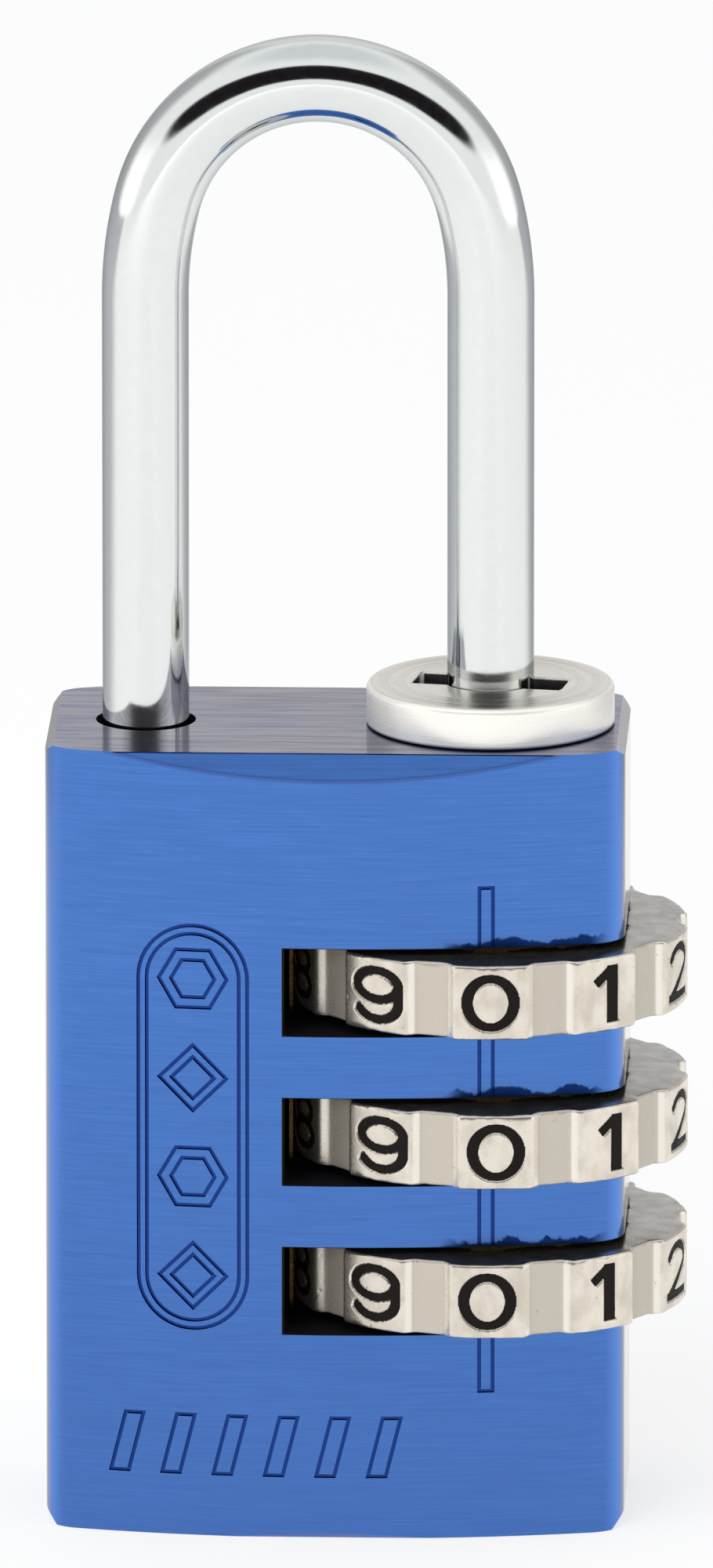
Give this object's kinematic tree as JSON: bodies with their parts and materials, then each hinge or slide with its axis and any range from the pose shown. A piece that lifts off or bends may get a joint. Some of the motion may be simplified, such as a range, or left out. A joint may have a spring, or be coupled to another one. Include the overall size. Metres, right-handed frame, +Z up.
{
  "type": "combination padlock",
  "caption": "Small combination padlock: blue block body, tall round shackle on a collar, and number dials that turn in side slots.",
  "frame": {"origin": "middle of the body's flat bottom face", "axes": "+Z up through the shackle, -Y out of the front face with the engraving, +X to the side where the dials stand out"},
  "size_m": [0.0221, 0.0138, 0.0519],
  "materials": {
    "body_anodised": "blue anodised over fine horizontal brushing, satin",
    "plug_aluminium": "blue anodised, turned",
    "shackle_chrome": "polished chrome plate on steel",
    "collar_nickel": "nickel plate with turning marks",
    "dial_nickel": "nickel plated zinc casting, satin with small pits",
    "number_black": "black paint in the engraved numbers",
    "sleeve_brass": "machined brass",
    "leaf_bronze": "rolled bronze strip",
    "washer_steel": "zinc plated pressed steel",
    "spring_steel": "drawn spring wire"
  },
  "bodies": {
    "lock_body": {"body": "body_anodised", "collar": "collar_nickel", "base_plug": "plug_aluminium", "code_spring": "spring_steel", "detent_spring_top": "leaf_bronze", "detent_spring_middle": "leaf_bronze", "detent_spring_bottom": "leaf_bronze"},
    "shackle": {"shackle": "shackle_chrome"},
    "thrust_washer": {"thrust_washer": "washer_steel"},
    "dial_top": {"dial_top": "dial_nickel", "digits_top": "number_black"},
    "sleeve_top": {"sleeve_top": "sleeve_brass"},
    "dial_middle": {"dial_middle": "dial_nickel", "digits_middle": "number_black"},
    "sleeve_middle": {"sleeve_middle": "sleeve_brass"},
    "dial_bottom": {"dial_bottom": "dial_nickel", "digits_bottom": "number_black"},
    "sleeve_bottom": {"sleeve_bottom": "sleeve_brass"}
  },
  "joints": [
    {"name": "shackle_lift", "type": "slide", "parent": "lock_body", "child": "shackle", "axis": [0, 0, 1], "range_m": [0, 0.005]},
    {"name": "code_shift", "type": "slide", "parent": "lock_body", "child": "thrust_washer", "axis": [0, 0, 1], "range_m": [-0.0009, 0], "stiffness_N_per_m": 600, "springref_m": 0.001, "deforming": ["code_spring"]},
    {"name": "dial_top_spin", "type": "hinge", "parent": "lock_body", "child": "dial_top", "pos_m": [0.00525, 0, 0.0194], "axis": [0, 0, 1], "continuous": true, "deforming": ["detent_spring_top"]},
    {"name": "sleeve_top_shift", "type": "slide", "parent": "dial_top", "child": "sleeve_top", "axis": [0, 0, 1], "range_m": [-0.0009, 0]},
    {"name": "dial_middle_spin", "type": "hinge", "parent": "lock_body", "child": "dial_middle", "pos_m": [0.00525, 0, 0.0141], "axis": [0, 0, 1], "continuous": true, "deforming": ["detent_spring_middle"]},
    {"name": "sleeve_middle_shift", "type": "slide", "parent": "dial_middle", "child": "sleeve_middle", "axis": [0, 0, 1], "range_m": [-0.0009, 0]},
    {"name": "dial_bottom_spin", "type": "hinge", "parent": "lock_body", "child": "dial_bottom", "pos_m": [0.00525, 0, 0.0088], "axis": [0, 0, 1], "continuous": true, "deforming": ["detent_spring_bottom"]},
    {"name": "sleeve_bottom_shift", "type": "slide", "parent": "dial_bottom", "child": "sleeve_bottom", "axis": [0, 0, 1], "range_m": [-0.0009, 0]}
  ],
  "couplings": [
    {"joint": "sleeve_top_shift", "follows": "code_shift", "ratio": 1},
    {"joint": "sleeve_middle_shift", "follows": "code_shift", "ratio": 1},
    {"joint": "sleeve_bottom_shift", "follows": "code_shift", "ratio": 1}
  ]
}
